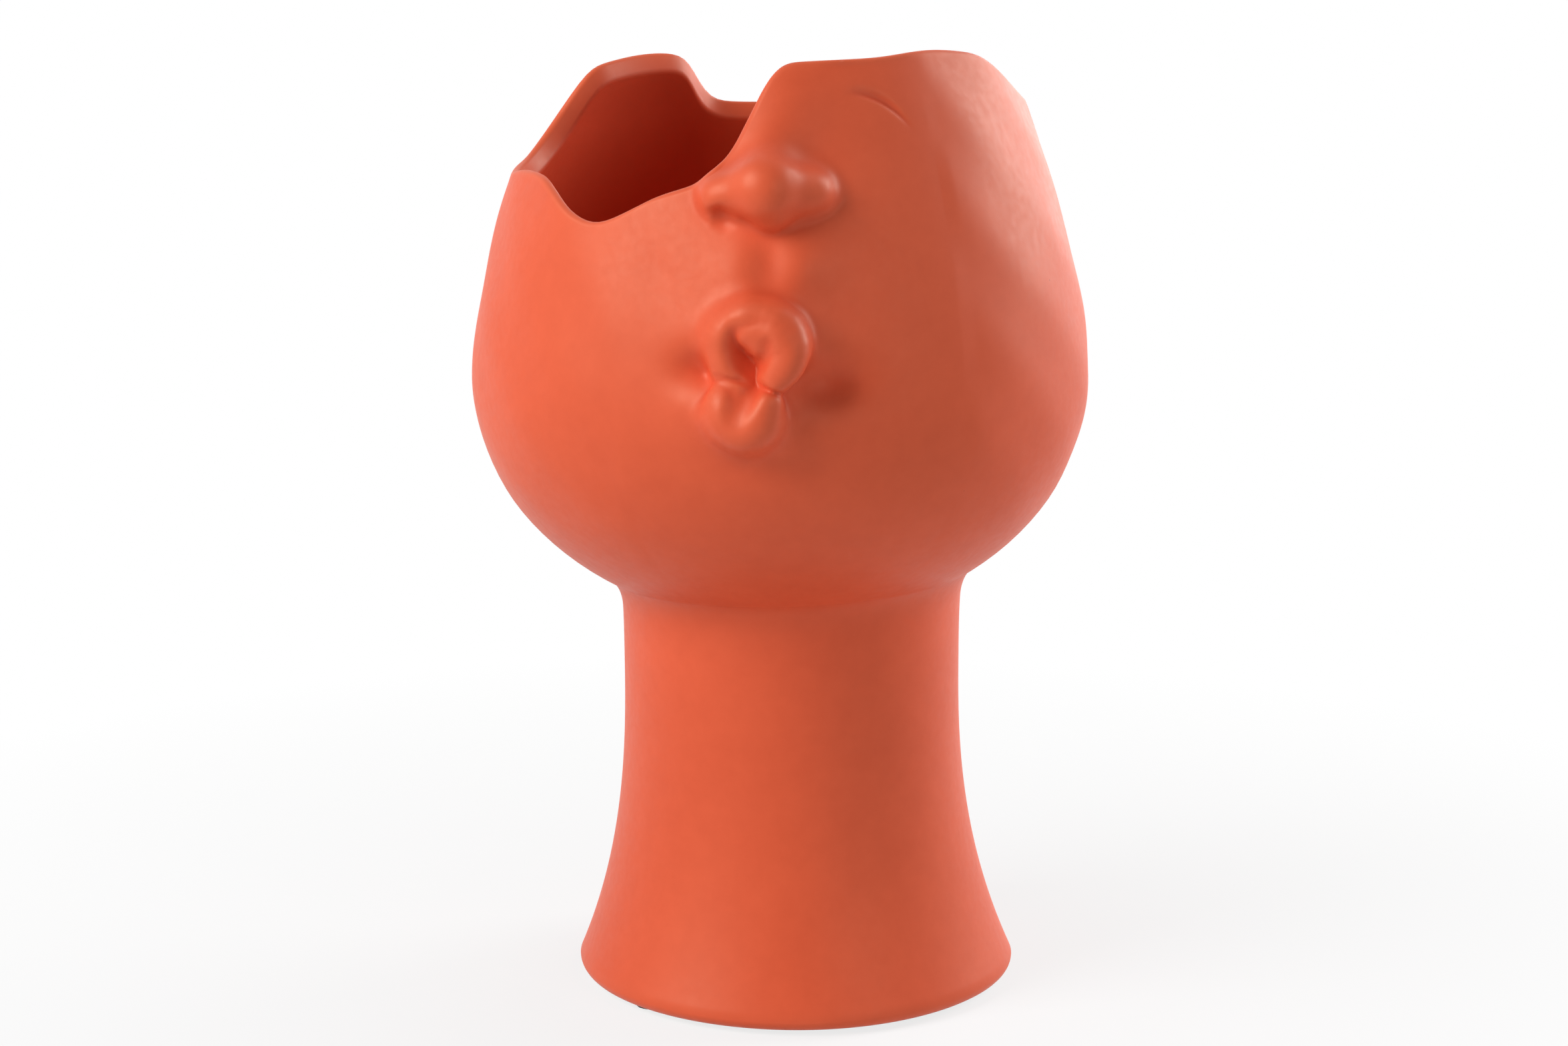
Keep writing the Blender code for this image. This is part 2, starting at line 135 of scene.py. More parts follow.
LIP_LINE = (
    (-18.0, 19.8, 6.8, 0.2), (-13.6, 18.9, 7.8, 0.5), (-8.0, 17.8, 6.6, 0.5), (-2.0, 16.8, 7.5, 0.5),
    (2.8, 14.8, 10.8, 0.5), (9.0, 13.9, 7.2, 0.6), (17.0, 13.2, 3.0, 0.2),
)
BROW_LINE = (
    (26.0, 111.4, 0.8, 0.2), (31.0, 111.2, 0.3, 1.2), (37.5, 109.0, 0.1, 1.4),
    (43.5, 104.8, 0.3, 1.2), (49.0, 98.6, 0.8, 0.2),
)

# Widths over which the clay runs together or a cut is softened
SEPTUM_BLEND = 6.0
LEFT_WING_BLEND = 9.0
RIGHT_WING_BLEND = 8.5
NOSE_BLEND = 7.0
NOSE_CREASE = 3.8  # how much less that is under the nose and beside its left wing
NOSTRIL_BLEND = 4.5
BROW_BLEND = 0.8
UPPER_LIP_BLEND = 10.0
CORNER_CREASE = 4.5  # how much less that is at the left corner of the mouth
PIT_BLEND = 5.0
INNER_LIP_BLEND = 5.0
MIDDLE_LIP_BLEND = 4.0
RIGHT_LIP_BLEND = 1.5
RIGHT_LIP_TOP = 6.5  # how much more that is over the top of the right half
RIGHT_LIP_SIDE = 6.0  # and at its side
NOTCH_BLEND = 3.0
LOWER_LIP_BLEND = 5.0
FOLD_BLEND = 4.5
LOWER_LIP_CREASE = 0.8
LOWER_LIP_ROOT = 10.0  # how much more that is towards the chin
LIP_LINE_BLEND = 1.6

# Bounds of the zones where a blend changes: (place, softness)
WING_SIDE = (-19.0, 1.5)
WING_TOP = (80.0, 2.0)
NOSE_SIDE = (-21.0, 3.0)
NOSE_BOTTOM = (75.0, 3.0)
CORNER_TOP = (24.0, 3.0)
CORNER_SIDE = (-12.0, 2.0)
LIP_TOP = (37.0, 1.5)
LIP_TOP_SIDE = (8.0, 2.0)
LIP_SIDE = (9.5, 1.5)
LOWER_LIP_TOP = (9.0, 2.5)

# Finding the face: heights that nose and lips reach, and how the grid closes in on it
NOSE_FROM = 45.0
LIPS_FROM = -30.0
LIPS_TO = 65.0
FACE_REACH = 34.0  # farther out than any clay
FACE_SINK = 6.0  # deeper than any hollow
CLOSING_STEPS = 45
CLOSING_PACE = 0.85
PROBE = 0.12  # distance at which the slope of the face is felt
EVENING_ROUNDS = 8
EVENING_STEPS = 3
EVENING_PACE = 0.5
SETTLING_PACE = 0.9
LEAST_SLOPE = 0.25
SMOOTHING_ROUNDS = 2
SMOOTHING_PACE = 0.4

# Neck and foot, turned about an axis that leans a little
NECK_FOOT_X = 5.6
NECK_TOP_X = 4.0
NECK_TOP = 150.0
NECK_Y = 6.0
WAIST_RADIUS = 63.0
WAIST_DROP = 32.0  # below the joint with the head
COLLAR_FLARE = 1.0  # how much wider the neck is at the joint than at the waist
COLLAR_POWER = 4
FOOT_RADIUS = 82.6
FOOT_POWER = 2.5
FOOT_EDGE = 4.0
FOOT_RING = 21.0  # width of the ring that the foot stands on
FOOT_RING_HEIGHT = 8.0
FOOT_RING_RISE = 14.0  # height at which the ring runs into the hollow
FOOT_RING_ROUNDINGS = (2.5, 1.2)  # of its upper and its lower inner edge
NECK_WALL = 8.0
BARE_HEIGHT = 0.4  # height up to which the foot is wiped bare
LUTE_DOWN = 9.0  # how far the filled joint runs down the neck
LUTE_OUT = 6.0  # and out along the head
LUTE_SINK = 0.35  # how far its thin edge is rubbed into the head
JOINT_ROUNDS = 6  # in which the height of the joint is found

# Drain hole and plug
DRAIN_RADIUS = 10.0
DRAIN_EDGE = 0.8
SEAT_RADIUS = 18.0
PLUG_HEAD = 16.0  # from the underside of the flange to the top of the knob
PLUG_SHOULDER = 5.3  # how much the stem is smaller in radius than the flange
PLUG_TAPER = 1.2
PLUG_STALK = 3.0
PLUG_KNOB = 4.5
PLUG_RIB = 0.35
PLUG_RIB_PLACES = (0.35, 0.62, 0.89)  # shares of the stem's height
PLUG_RIB_SECTION = ((PLUG_RIB, -0.9), (0.0, -0.4), (0.0, 0.4), (PLUG_RIB, 0.9))  # (inset, height)
PLUG_RIB_ROUNDING = 0.3
PLUG_MIDDLE = 0.05  # radius of the flat in the middle of the lower end
PLUG_CUP = 0.9  # how deep the lower end is hollowed
PLUG_SEAT_ROUNDING = 0.2  # where the stem meets the flange
KNOB_TURNS = (128, 3)  # degrees from the top, at which the knob's round begins and ends

# Corners of the plug: (inset from the edge, or for the stalk how far out of it; height; rounding)
PLUG_END = ((2.2, PLUG_CUP, 0.6), (1.4, 0.0, 0.5), (0.0, 0.0, 0.6))
PLUG_FLANGE = ((0.4, 0.0, 0.3), (0.0, 1.0, 0.6), (0.5, 2.4, 0.6), (1.8, 3.0, 0.5))
PLUG_STALK_CORNERS = ((5.0, 2.7, 1.0), (0.0, 3.0, 1.2), (0.0, 7.4, 0.8), (0.6, 7.6, 0.0))

# Felt pads
PAD_COUNT = 4
PAD_TRIM = 0.15  # how much smaller in radius the uneven edge is than its space
PAD_EDGE = 0.35
PAD_WAIST = 0.1  # how far the edge is drawn in at half height
PAD_WAIST_ROUNDING = 3.0
PAD_MIDDLE = 0.2  # radius of the flat in the middle
PAD_ROWS = (0.35, 0.7)  # shares of the radius
PAD_UNEVENNESS = 0.012  # share of the radius

# Colours of the materials
CORAL = (0.78, 0.112, 0.044, 1)
CORAL_DEEP = (0.70, 0.093, 0.035, 1)
# paler coral on edges: thin glaze with a painted highlight
CORAL_THIN_HIGHLIGHT = (0.80, 0.160, 0.070, 1)
# darker red in hollows, pooled glaze with painted shade, and over the whole inside of the bowl, painted
# shade
CORAL_POOLED_SHADE = (0.60, 0.052, 0.018, 1)
SPECK = (0.40, 0.055, 0.022, 1)
CLAY = (0.72, 0.52, 0.40, 1)
CLAY_DEEP = (0.62, 0.40, 0.29, 1)
CLAY_SPECK = (0.35, 0.20, 0.14, 1)
RUBBER = (0.045, 0.043, 0.041, 1)
RUBBER_DEEP = (0.018, 0.017, 0.017, 1)
RUBBER_DUST = (0.11, 0.10, 0.095, 1)
FELT = (0.125, 0.113, 0.106, 1)
FELT_DEEP = (0.045, 0.041, 0.040, 1)
FELT_FIBRE = (0.26, 0.24, 0.22, 1)
FLOOR_PALE = (0.75, 0.75, 0.75, 1)
FLOOR_DEEP = (0.72, 0.72, 0.72, 1)
WHITE = (1, 1, 1, 1)
NOISE_RANGE = (0.3, 0.7)  # values between which most of a noise lies
COARSE_GRAIN = 6.0  # how much larger the second size of the grain is
SPECK_FADE = 1.6  # how much farther out a speck has faded away

# Stage, in metres: lamps of (name, azimuth and elevation in degrees, size, power in watts)
LAMPS = (
    ("key", -58, 33, (1.0, 1.2), 34),
    ("side", 116, 24, (0.9, 1.1), 25),
    ("back", 150, 16, (0.9, 1.0), 9),
    ("fill", 42, 18, (1.0, 1.0), 5),
)
LAMP_DISTANCE = 1.9
LAMP_AIM = Vector((0, 0, 0.19))
AMBIENT = 0.02
FLOOR_HALF = 4.0
FLOOR_FADE = (0.78, 1.0, 0.10, 0.50)  # share of plain white near and far, and where near and far are

# Camera, in metres and degrees
CAMERA_DISTANCE = 1.22
CAMERA_SIDE = 0.00123
CAMERA_HEIGHT = 0.4223
CAMERA_TURN = 2.5
CAMERA_PITCH = 11.6006
SENSOR_WIDTH = 36.0
FOCAL_LENGTH_PIXELS = 5000
PICTURE_WIDTH_PIXELS = 2351

# Fineness: bands of (start, count up to the next start)
FACE_COLUMNS = ((-27.0, 22), (-13.0, 84), (13.5, 7), (17.0, 40), (34.0, 4))
BACK_COLUMNS = ((37.0, 165),)
OUTER_ROWS = ((-20.0, 10), (-8.0, 88), (46.0, 12), (58.0, 46), (94.0, 31), (114.0, 9))
UNDERSIDE_ROWS = 24
INSIDE_ROWS = 34
RIM_KNEE = 47.0  # height below which the rows stay level
NECK_COLUMNS = 160
NECK_ROWS = 46
FOOT_EDGE_ROWS = 8
LUTE_ROWS = 15
SEAT_ROWS = (0.35, 0.7, 1.0)  # shares of the way in from the edge of the filled joint
HOLLOW_ROWS = 30
PLUG_COLUMNS = 72
KNOB_ROWS = 20
PAD_COLUMNS = 96
CURVE_STEPS = 3  # between two stations of a roll
ARC_STEPS = 6  # in a rounding of the rim
FINE_ARC_STEPS = 4  # in a rounding of foot, plug or pad
DRAIN_ARC_STEPS = 3
NEARLY_STRAIGHT = math.radians(89)  # half the angle of a corner too flat to round
SHARP_ANGLE = math.radians(50)

# Glaze, thin and paler with a painted highlight on edges, pooled and darker with painted shade in hollows:
# how strongly bends of the wall count, and the least spacing at which they are felt
THIN_HIGHLIGHT_GAIN = 1.5
POOLED_SHADE_GAIN = 2.5
LEAST_REACH = 0.2
BEND_ROUNDS = 2  # of evening them out
GLAZE_CHANGE = 0.5  # most that thin glaze with its painted highlight, or pooled glaze with its painted shade, changes the colour
BOWL_EDGE = (HEAD_WALL - 0.6, 0.3)  # inset at which the painted shade over the inside of the bowl begins, and its softness


def blended(a, b, width):
    """The lesser of two distances, run together over that width."""
    overlap = np.maximum(width - np.abs(a - b), 0.0)
    return np.minimum(a, b) - overlap**2 / (4 * width)


def carved(distance, cutter, width):
    """A distance with a cutter taken out of it, its edge softened over that width."""
    return -blended(-distance, cutter, width)


def step_up(value, start, width):
    """Rises smoothly from 0 to 1 about the start."""
    return 1 / (1 + np.exp(np.clip((start - value) / width, -STEP_LIMIT, STEP_LIMIT)))


def step_down(value, end, width):
    """Falls smoothly from 1 to 0 about the end."""
    return step_up(-value, -end, width)


def wall_radius(height):
    """Outer radius of the plain head."""
    above = HEAD_RADIUS - HEAD_DRAW * (np.maximum(height, 0) / HEAD_RISE) ** HEAD_DRAW_POWER
    below = HEAD_RADIUS * np.sqrt(np.maximum(1 - (np.minimum(height, 0) / HEAD_UNDER) ** 2, 0))
    return np.where(height >= 0, above, below)


def wall_slope(height):
    """How fast that radius grows with height."""
    rise = HEAD_DRAW * HEAD_DRAW_POWER / HEAD_RISE
    above = -rise * (np.maximum(height, 0) / HEAD_RISE) ** (HEAD_DRAW_POWER - 1)
    share = np.clip(-height / HEAD_UNDER, 0, SLOPE_END)
    below = HEAD_RADIUS * share / np.sqrt(1 - share**2) / HEAD_UNDER
    return np.where(height >= 0, above, below)


def underside_height(radius):
    """Height, below zero, at which the underside of the head has that radius."""
    return -HEAD_UNDER * np.sqrt(np.maximum(1 - (radius / HEAD_RADIUS) ** 2, 0))


def wall_points(azimuth, height, inset):
    """Points of the head's wall and their outward normals, at an inset from its outside."""
    slope = wall_slope(height)
    steep = np.sqrt(1 + slope**2)
    radius = np.where(height >= 0, wall_radius(height) - inset / steep,
                      wall_radius(height) * (HEAD_RADIUS - inset) / HEAD_RADIUS)
    level = np.where(height >= 0, height + inset * slope / steep,
                     height * (HEAD_UNDER - inset) / HEAD_UNDER)
    east, north = np.sin(np.radians(azimuth)), -np.cos(np.radians(azimuth))
    points = np.stack([radius * east, radius * north, level], axis=-1)
    normals = np.stack([east / steep, north / steep, -slope / steep], axis=-1)
    return points, normals


def rim_height(azimuth):
    """Height of the rim, with its turns rounded."""
    total = sum(share for _, share in RIM_SHARES)
    return sum(share * rim_curve(azimuth + step * RIM_SOFTENING) for step, share in RIM_SHARES) / total


def rim_curve(azimuth):
    """Height of the rim, on a monotone cubic through its stations."""
    turns, heights = np.array(sorted(RIM_STATIONS)).T
    turns = np.concatenate([turns - 360, turns, turns + 360])
    heights = np.tile(heights, 3)
    step = np.diff(turns)
    rise = np.diff(heights) / step
    product = rise[:-1] * rise[1:]
    slope = np.zeros_like(turns)
    slope[1:-1] = np.where(product > 0, 2 * product / np.where(product > 0, rise[:-1] + rise[1:], 1), 0)
    at = np.clip(np.searchsorted(turns, azimuth) - 1, 0, len(step) - 1)
    t = (azimuth - turns[at]) / step[at]
    hermite = (1 + 2 * t) * (1 - t) ** 2 * heights[at] + t**2 * (3 - 2 * t) * heights[at + 1]
    return hermite + step[at] * t * (1 - t) * ((1 - t) * slope[at] - t * slope[at + 1])


def rounded(corners, steps=ARC_STEPS):
    """Points along corners of (across, along, rounding), with an arc of that radius at each corner."""
    spots = np.array([corner[:2] for corner in corners], float)
    line = [spots[0]]
    for before, spot, after, corner in zip(spots, spots[1:], spots[2:], corners[1:]):
        back = (before - spot) / np.linalg.norm(before - spot)
        ahead = (after - spot) / np.linalg.norm(after - spot)
        half = math.acos(np.clip(back @ ahead, -1, 1)) / 2
        if corner[2] == 0 or half > NEARLY_STRAIGHT:
            line.append(spot)
            continue
        middle = spot + (back + ahead) / np.linalg.norm(back + ahead) * corner[2] / math.sin(half)
        first, last = (spot + way * corner[2] / math.tan(half) - middle for way in (back, ahead))
        turn = math.pi - 2 * half
        for share in np.linspace(0, 1, steps + 1):
            arm = (math.sin((1 - share) * turn) * first + math.sin(share * turn) * last) / math.sin(turn)
            line.append(middle + arm)
    return np.array(line + [spots[-1]])


def bands(stations, end):
    """Values spread evenly from each station to the next, the last up to but without the end."""
    stops = [start for start, _ in stations] + [end]
    runs = [np.linspace(a, b, n, endpoint=False) for (a, n), b in zip(stations, stops[1:])]
    return np.concatenate(runs)


def pressed_on(sideways, height, out):
    """The point that stands out of the plain wall there."""
    return np.array([sideways, -math.sqrt(wall_radius(height) ** 2 - sideways**2) - out, height])


def along_curve(stations):
    """Stations with more between them, on a smooth curve through them."""
    spots = np.array(stations, float)
    if len(spots) < 3:
        return spots
    padded = np.vstack([2 * spots[0] - spots[1], spots, 2 * spots[-1] - spots[-2]])
    line = []
    for a, b, c, d in zip(padded, padded[1:], padded[2:], padded[3:]):
        for t in np.linspace(0, 1, CURVE_STEPS, endpoint=False):
            square, cube = a - 2.5 * b + 2 * c - d / 2, 1.5 * (b - c) + (d - a) / 2
            line.append(b + t * (c - a) / 2 + t**2 * square + t**3 * cube)
    return np.array(line + [spots[-1]])


def roll(points, stations):
    """Distance to the skin of a roll of clay."""
    line = along_curve(stations)
    cores = [pressed_on(*station[:3]) for station in line]
    nearest = np.full(points.shape[:-1], np.inf)
    for start, end, first, last in zip(cores, cores[1:], line[:, 3], line[1:, 3]):
        way = end - start
        share = np.clip((points - start) @ way / (way @ way), 0, 1)
        to_core = np.linalg.norm(points - start - share[..., None] * way, axis=-1)
        nearest = np.minimum(nearest, to_core - first - share * (last - first))
    return nearest


def ball(points, middle, radii, tilt):
    """Distance to the skin of a ball of clay, tilted in the plane of the face."""
    away = points - pressed_on(*middle)
    cosine, sine = math.cos(math.radians(tilt)), math.sin(math.radians(tilt))
    x, y, z = away[..., 0], away[..., 1], away[..., 2]
    away = np.stack([cosine * x + sine * z, y, cosine * z - sine * x], axis=-1)
    radii = np.array(radii)
    share = np.linalg.norm(away / radii, axis=-1)
    return share * (share - 1) / np.maximum(np.linalg.norm(away / radii**2, axis=-1), TINY)


def swelling(points):
    """How far the broad soft forms of the face lift its wall."""
    x, z = points[..., 0], points[..., 2]
    lift = np.zeros_like(x)
    for amount, sideways, height, wide, high, tilt in SWELLINGS:
        cosine, sine = math.cos(math.radians(tilt)), math.sin(math.radians(tilt))
        along = ((x - sideways) * cosine + (z - height) * sine) / wide
        across = ((z - height) * cosine - (x - sideways) * sine) / high
        lift += amount * np.exp(-(along**2) - across**2)
    return lift


def with_nose(face, points):
    """The face with its nose and brow line."""
    sideways, height = points[..., 0], points[..., 2]
    nose = blended(ball(points, *NOSE_TIP), roll(points, NOSE_SEPTUM), SEPTUM_BLEND)
    nose = blended(nose, ball(points, *LEFT_WING), LEFT_WING_BLEND)
    nose = blended(nose, ball(points, *RIGHT_WING), RIGHT_WING_BLEND)
    below = step_up(sideways, *NOSE_SIDE) * step_down(height, *NOSE_BOTTOM)
    beside = step_down(sideways, *WING_SIDE) * step_down(height, *WING_TOP)
    face = blended(face, nose, NOSE_BLEND - NOSE_CREASE * np.maximum(below, beside))
    face = carved(face, ball(points, *LEFT_NOSTRIL), NOSTRIL_BLEND)
    return carved(face, roll(points, BROW_LINE), BROW_BLEND)


def with_lips(face, points):
    """The face with its puckered lips, the upper one folded about a pit and the lower one pressed below."""
    sideways, height = points[..., 0], points[..., 2]
    corner = step_down(height, *CORNER_TOP) * step_down(sideways, *CORNER_SIDE)
    face = blended(face, roll(points, UPPER_LIP_LEFT), UPPER_LIP_BLEND - CORNER_CREASE * corner)
    face = carved(face, roll(points, MOUTH_PIT), PIT_BLEND)
    right = blended(roll(points, UPPER_LIP_RIGHT), roll(points, UPPER_LIP_INNER), INNER_LIP_BLEND)
    right = blended(right, roll(points, UPPER_LIP_MIDDLE), MIDDLE_LIP_BLEND)
    top = step_up(height, *LIP_TOP) * step_down(sideways, *LIP_TOP_SIDE)
    side = step_up(sideways, *LIP_SIDE)
    face = blended(face, right, RIGHT_LIP_BLEND + RIGHT_LIP_TOP * top + RIGHT_LIP_SIDE * side)
    face = carved(face, roll(points, LIP_NOTCH), NOTCH_BLEND)
    lower = blended(roll(points, LOWER_LIP), roll(points, LOWER_LIP_MIDDLE), LOWER_LIP_BLEND)
    lower = carved(lower, roll(points, LOWER_FOLD), FOLD_BLEND)
    root = step_down(height, *LOWER_LIP_TOP)
    face = blended(face, lower, LOWER_LIP_CREASE + LOWER_LIP_ROOT * root)
    return carved(face, roll(points, LIP_LINE), LIP_LINE_BLEND)


def face_distance(points):
    """Distance to the outside of the head with its face."""
    height = points[..., 2]
    flat = np.hypot(points[..., 0], points[..., 1])
    face = (flat - wall_radius(height)) / np.sqrt(1 + wall_slope(height) ** 2) - swelling(points)
    high, low = height > NOSE_FROM, (height > LIPS_FROM) & (height < LIPS_TO)
    face[high] = with_nose(face[high], points[high])
    face[low] = with_lips(face[low], points[low])
    return face


def face_gradient(points):
    """The distance to the face and the way that it grows, from four points about each."""
    distance, away = 0.0, 0.0
    for way in ((1, -1, -1), (-1, -1, 1), (-1, 1, -1), (1, 1, 1)):
        way = np.array(way, float)
        near = face_distance(points + PROBE * way)
        distance = distance + near / 4
        away = away + near[..., None] * way / (4 * PROBE)
    return distance, away


def face_relief(points, normals):
    """How far the face stands out of the wall, found by closing in along the normals."""
    relief = np.full(points.shape[:-1], FACE_REACH)
    for _ in range(CLOSING_STEPS):
        relief = relief - CLOSING_PACE * face_distance(points + relief[..., None] * normals)
    return np.clip(relief, -FACE_SINK, FACE_REACH)


def pull_to_neighbours(points):
    """The way from each point to the middle of its neighbours, with the patch's edge held."""
    pull = np.zeros_like(points)
    middle = (points[:-2, 1:-1] + points[2:, 1:-1] + points[1:-1, :-2] + points[1:-1, 2:]) / 4
    pull[1:-1, 1:-1] = middle - points[1:-1, 1:-1]
    return pull


def onto_face(points):
    """Points moved onto the face by the shortest way."""
    distance, away = face_gradient(points)
    size = np.maximum((away**2).sum(axis=-1, keepdims=True), LEAST_SLOPE)
    return points - SETTLING_PACE * distance[..., None] * away / size


def evened(points):
    """The patch of the face with its points spread evenly over the folds, and a last light smoothing."""
    for _ in range(EVENING_ROUNDS):
        _, away = face_gradient(points)
        away /= np.maximum(np.linalg.norm(away, axis=-1, keepdims=True), TINY)
        for _ in range(EVENING_STEPS):
            pull = pull_to_neighbours(points)
            points = points + EVENING_PACE * (pull - (pull * away).sum(axis=-1, keepdims=True) * away)
        points = onto_face(points)
    for _ in range(SMOOTHING_ROUNDS):
        points = points + SMOOTHING_PACE * pull_to_neighbours(points)
    return points


def waves(stations, azimuth, height):
    """Slight unevenness of a wall made by hand."""
    turn = np.radians(azimuth)
    return sum(amount * np.sin(count * turn + phase + height / rise)
               for amount, count, phase, rise in stations)


def head_rings():
    """Rings of points round the bowl's section: up the outside, over the rim, down inside to the drain."""
    face_turns = bands(FACE_COLUMNS, BACK_COLUMNS[0][0])
    azimuth = np.concatenate([face_turns, bands(BACK_COLUMNS, FACE_COLUMNS[0][0] + 360)])
    face = slice(0, len(face_turns) + 1)
    rim = rim_height(azimuth)
    ahead, behind = np.roll(rim, -1), np.roll(rim, 1)
    turn = np.radians((np.roll(azimuth, -1) - np.roll(azimuth, 1)) % 360)
    stretch = np.minimum(np.hypot(1, (ahead - behind) / (turn * wall_radius(rim))), RIM_STRETCH)

    section = rounded(RIM_CORNERS)[1:-1]
    inset, depth = section[:, 0], section[:, 1] - section[:, 1].min()
    top = rim - depth[0] * stretch
    start = -math.acos((DRAIN_RADIUS + DRAIN_EDGE) / HEAD_RADIUS)
    first = math.asin(OUTER_ROWS[0][0] / HEAD_UNDER)
    underside = HEAD_UNDER * np.sin(np.linspace(start, first, UNDERSIDE_ROWS, endpoint=False))
    levels = np.concatenate([underside, bands(OUTER_ROWS, HEAD_RISE)])[:, None]
    lifted = RIM_KNEE + (levels - RIM_KNEE) * (top - RIM_KNEE) / (HEAD_RISE - RIM_KNEE)
    heights = np.vstack([np.where(levels > RIM_KNEE, lifted, levels + 0 * top), top])

    outside, normals = wall_points(azimuth, heights, 0.0)
    relief = np.zeros(heights.shape)
    relief[:, face] = face_relief(outside[:, face], normals[:, face])
    relief = relief + step_up(heights, WAVES_FROM, WAVES_FADE) * waves(HEAD_WAVES, azimuth, heights)
    outside = outside + relief[..., None] * normals
    outside[:, face] = evened(outside[:, face])

    over, normals = wall_points(azimuth, rim - depth[1:, None] * stretch, inset[1:, None])
    over = over + (relief[-1] * (1 - inset[1:, None] / HEAD_WALL))[..., None] * normals
    top_turn = np.arcsin((rim - depth[-1] * stretch) / HEAD_RISE)
    seat_turn = -math.acos(SEAT_RADIUS / (HEAD_RADIUS - HEAD_WALL))
    turns = top_turn + np.linspace(0, 1, INSIDE_ROWS)[1:, None] * (seat_turn - top_turn)
    levels = np.where(turns > 0, HEAD_RISE, HEAD_UNDER) * np.sin(turns)
    inside, _ = wall_points(azimuth, levels, HEAD_WALL)

    floor = float(inside[-1, 0, 2])
    bottom = float(underside_height(DRAIN_RADIUS))
    corners = ((SEAT_RADIUS, floor, 0), (DRAIN_RADIUS, floor, DRAIN_EDGE),
               (DRAIN_RADIUS, bottom, DRAIN_EDGE), (2 * DRAIN_RADIUS, bottom, 0))
    hole = rounded(corners, DRAIN_ARC_STEPS)[1:-1]
    east, north = np.sin(np.radians(azimuth)), -np.cos(np.radians(azimuth))
    drain = np.stack([hole[:, :1] * east, hole[:, :1] * north, hole[:, 1:] + 0 * east], axis=-1)
    return np.concatenate([outside, over, inside, drain]) + HEAD_PLACE


def neck_axis(height):
    """Where the neck's leaning axis passes that height, sideways."""
    return NECK_FOOT_X + (NECK_TOP_X - NECK_FOOT_X) * np.clip(height / NECK_TOP, 0, 1)


def neck_wall(azimuth, height, joint, bottom):
    """Radius of the neck's outside, which the head joins at the height of the joint."""
    waist = joint - WAIST_DROP
    up = np.maximum(height - waist, 0) / WAIST_DROP
    down = np.clip((waist - height) / (waist - bottom - FOOT_EDGE), 0, 1)
    collar = COLLAR_FLARE * up**COLLAR_POWER
    foot = (FOOT_RADIUS - WAIST_RADIUS) * down**FOOT_POWER
    return WAIST_RADIUS + collar + foot + waves(NECK_WAVES, azimuth, height)


def ring_at(azimuth, radius, height):
    """A ring of the neck of that radius, about its axis."""
    turn = np.radians(azimuth)
    height = height + 0 * turn
    sideways, depth = neck_axis(height) + radius * np.sin(turn), NECK_Y - radius * np.cos(turn)
    return np.stack([sideways, depth, height], axis=-1)


def neck_rings(bottom):
    """Rings round the section of the neck: up the outside, into the joint, and down the hollow."""
    azimuth = np.linspace(0, 360, NECK_COLUMNS, endpoint=False)
    middle = HEAD_PLACE[2]
    joint = np.full(NECK_COLUMNS, middle + float(underside_height(WAIST_RADIUS)))
    mean_joint = float(joint[0])
    for _ in range(JOINT_ROUNDS):
        spot = ring_at(azimuth, neck_wall(azimuth, joint, mean_joint, bottom), joint)
        joint = middle + underside_height(np.hypot(spot[:, 0] - HEAD_PLACE[0], spot[:, 1] - HEAD_PLACE[1]))

    widest = bottom + FOOT_EDGE
    rows = []
    foot_radius = neck_wall(azimuth, widest, mean_joint, bottom)
    for turn in np.radians(np.linspace(0, 90, FOOT_EDGE_ROWS))[:-1]:
        rows.append(ring_at(azimuth, foot_radius - FOOT_EDGE * (1 - math.sin(turn)),
                            bottom + FOOT_EDGE * (1 - math.cos(turn))))
    for share in np.linspace(0, 1, NECK_ROWS):
        height = widest + share * (joint - LUTE_DOWN - widest)
        rows.append(ring_at(azimuth, neck_wall(azimuth, height, mean_joint, bottom), height))
    wall_end = rows[-1]
    corner = ring_at(azimuth, neck_wall(azimuth, joint, mean_joint, bottom), joint)
    flat = corner[:, :2] - HEAD_PLACE[:2]
    reach = np.linalg.norm(flat, axis=1) + LUTE_OUT
    outward = flat / np.linalg.norm(flat, axis=1, keepdims=True) * reach[:, None]
    head_end = np.column_stack([outward + HEAD_PLACE[:2], middle + underside_height(reach) + LUTE_SINK])
    for t in np.linspace(0, 1, LUTE_ROWS)[1:]:
        rows.append((1 - t) ** 2 * wall_end + 2 * t * (1 - t) * corner + t**2 * head_end)

    seat = []
    inner_top = neck_wall(azimuth, joint, mean_joint, bottom) - NECK_WALL
    inner = ring_at(azimuth, inner_top, joint)
    for t in SEAT_ROWS:
        flat = (1 - t) * head_end[:, :2] + t * inner[:, :2] - HEAD_PLACE[:2]
        radius = np.linalg.norm(flat, axis=1)
        seat.append(np.column_stack([flat + HEAD_PLACE[:2], middle + underside_height(radius) + LUTE_SINK]))
    rows += seat
    ring_top = bottom + FOOT_RING_HEIGHT
    for share in np.linspace(1, 0, HOLLOW_ROWS)[1:]:
        height = ring_top + NECK_WALL + share * (seat[-1][:, 2] - ring_top - NECK_WALL)
        rows.append(ring_at(azimuth, neck_wall(azimuth, height, mean_joint, bottom) - NECK_WALL, height))
    ring_inside = foot_radius - FOOT_RING
    upper, lower = FOOT_RING_ROUNDINGS
    corners = ((FOOT_RING, FOOT_RING_RISE, 0), (0.0, FOOT_RING_HEIGHT, upper), (0.0, 0.0, lower),
               (FOOT_RING, 0.0, 0))
    for radius, height in rounded(corners, FINE_ARC_STEPS)[1:-1]:
        rows.append(ring_at(azimuth, ring_inside + radius, bottom + height))
    rows.append(ring_at(azimuth, ring_inside + FOOT_RING / 2, bottom))
    return np.array(rows)


